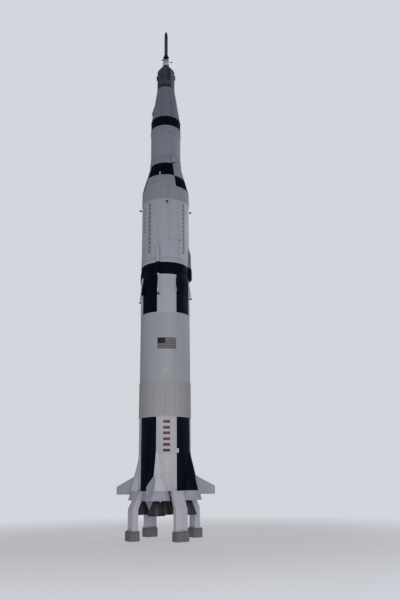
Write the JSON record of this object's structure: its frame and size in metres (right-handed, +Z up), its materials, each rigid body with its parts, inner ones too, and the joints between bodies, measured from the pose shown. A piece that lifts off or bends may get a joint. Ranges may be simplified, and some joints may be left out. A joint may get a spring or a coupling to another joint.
{
  "type": "three-stage moon rocket display replica, 1:10 scale model",
  "caption": "Tall three-stage moon rocket display replica on splayed legs, with finned engine fairings, black and white roll pattern and escape tower, as a 1:10 scale model.",
  "frame": {"origin": "on the ground, in the middle of the four feet, on the rocket's axis", "axes": "+Z up along the rocket's axis; fins along -Y, +X, +Y and -X, legs between them"},
  "size_m": [1.97, 1.97, 11.446],
  "materials": {
    "white_paint": "weathered satin white paint with black roll pattern",
    "black_paint": "satin black paint",
    "fin_paint": "satin light grey paint",
    "leg_paint": "satin white paint on plate",
    "concrete": "matte cast concrete look",
    "engine_metal": "dull dark metal paint",
    "module_grey": "satin dark grey paint",
    "cover_dark": "satin dark grey paint",
    "tower_paint": "light grey painted tube",
    "motor_grey": "satin blue-grey paint"
  },
  "bodies": {
    "root": {"thrust_structure": "white_paint", "fuel_tank": "white_paint", "intertank": "white_paint", "oxidizer_tank": "white_paint", "first_forward_skirt": "white_paint", "lower_interstage": "white_paint", "second_tank": "white_paint", "second_forward_skirt": "white_paint", "upper_interstage": "white_paint", "third_aft_skirt": "white_paint", "third_tank": "white_paint", "third_forward_skirt": "white_paint", "lander_adapter": "white_paint", "fairing_front": "white_paint", "fairing_right": "white_paint", "fairing_back": "white_paint", "fairing_left": "white_paint", "feed_fairing_front": "white_paint", "feed_fairing_right": "white_paint", "feed_fairing_back": "white_paint", "feed_fairing_left": "white_paint", "motor_fairing_front": "white_paint", "motor_fairing_right": "white_paint", "motor_fairing_back": "white_paint", "motor_fairing_left": "white_paint", "motor_fairing_front_right": "white_paint", "motor_fairing_back_right": "white_paint", "motor_fairing_back_left": "white_paint", "motor_fairing_front_left": "white_paint", "control_fairing_front": "white_paint", "control_fairing_back": "white_paint", "second_aft_skirt": "black_paint", "instrument_ring": "black_paint", "escape_nozzles": "black_paint", "fin_front": "fin_paint", "fin_right": "fin_paint", "fin_back": "fin_paint", "fin_left": "fin_paint", "leg_front_right": "leg_paint", "leg_back_right": "leg_paint", "leg_back_left": "leg_paint", "leg_front_left": "leg_paint", "foot_front_right": "concrete", "foot_back_right": "concrete", "foot_back_left": "concrete", "foot_front_left": "concrete", "engine_center": "engine_metal", "engine_front": "engine_metal", "engine_right": "engine_metal", "engine_back": "engine_metal", "engine_left": "engine_metal", "service_module": "module_grey", "thrusters_front": "module_grey", "thrusters_right": "module_grey", "thrusters_back": "module_grey", "thrusters_left": "module_grey", "command_module": "cover_dark", "escape_tower": "tower_paint", "escape_motor": "motor_grey", "escape_nose": "motor_grey"}
  },
  "joints": []
}
